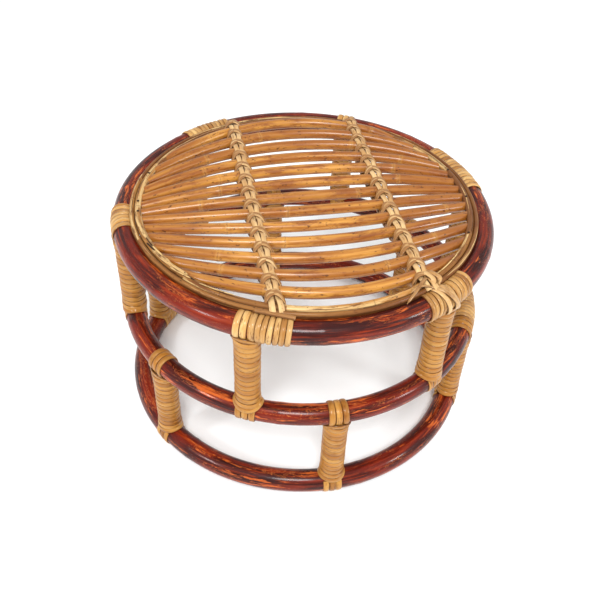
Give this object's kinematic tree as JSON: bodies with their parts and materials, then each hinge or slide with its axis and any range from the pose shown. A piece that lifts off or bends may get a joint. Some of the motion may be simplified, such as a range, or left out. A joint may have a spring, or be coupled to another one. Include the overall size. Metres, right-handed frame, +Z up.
{
  "type": "stool",
  "caption": "Low round stool of bent cane rings held apart by bound posts, with a seat of bowed canes lashed to crossbars inside a nailed rim.",
  "frame": {"origin": "centre of the stool on the floor", "axes": "+Z up. The seat canes run along X and the crossbars along Y."},
  "size_m": [0.443, 0.444, 0.2819],
  "materials": {
    "lacquered_cane": "stained dark red-brown, glossy lacquer",
    "post_cane": "plain cane",
    "cane_strip": "split cane skin, satin",
    "split_cane": "split cane, satin",
    "seat_cane": "golden cane, satin lacquer",
    "nail_iron": "dark, dull"
  },
  "bodies": {
    "root": {"top_ring": "lacquered_cane", "middle_ring": "lacquered_cane", "bottom_ring": "lacquered_cane", "upper_post_1": "post_cane", "upper_post_2": "post_cane", "upper_post_3": "post_cane", "upper_post_4": "post_cane", "upper_post_5": "post_cane", "upper_post_6": "post_cane", "lower_post_1": "post_cane", "lower_post_2": "post_cane", "lower_post_3": "post_cane", "lower_post_4": "post_cane", "lower_post_5": "post_cane", "lower_post_6": "post_cane", "upper_post_binding_1": "cane_strip", "upper_post_binding_2": "cane_strip", "upper_post_binding_3": "cane_strip", "upper_post_binding_4": "cane_strip", "upper_post_binding_5": "cane_strip", "upper_post_binding_6": "cane_strip", "lower_post_binding_1": "cane_strip", "lower_post_binding_2": "cane_strip", "lower_post_binding_3": "cane_strip", "lower_post_binding_4": "cane_strip", "lower_post_binding_5": "cane_strip", "lower_post_binding_6": "cane_strip", "top_ring_wrap_1": "cane_strip", "top_ring_wrap_2": "cane_strip", "top_ring_wrap_3": "cane_strip", "top_ring_wrap_4": "cane_strip", "top_ring_wrap_5": "cane_strip", "top_ring_wrap_6": "cane_strip", "middle_ring_wrap": "cane_strip", "bottom_ring_wrap": "cane_strip", "rim_cane_outer": "split_cane", "rim_cane_inner": "split_cane", "seat_cane_01": "seat_cane", "seat_cane_02": "seat_cane", "seat_cane_03": "seat_cane", "seat_cane_04": "seat_cane", "seat_cane_05": "seat_cane", "seat_cane_06": "seat_cane", "seat_cane_07": "seat_cane", "seat_cane_08": "seat_cane", "seat_cane_09": "seat_cane", "seat_cane_10": "seat_cane", "seat_cane_11": "seat_cane", "seat_cane_12": "seat_cane", "seat_cane_13": "seat_cane", "crossbar_left": "post_cane", "crossbar_right": "post_cane", "seat_lashing_left": "cane_strip", "seat_lashing_right": "cane_strip", "rim_nail_1": "nail_iron", "rim_nail_2": "nail_iron", "rim_nail_3": "nail_iron", "rim_nail_4": "nail_iron", "rim_nail_5": "nail_iron", "rim_nail_6": "nail_iron"}
  },
  "joints": []
}
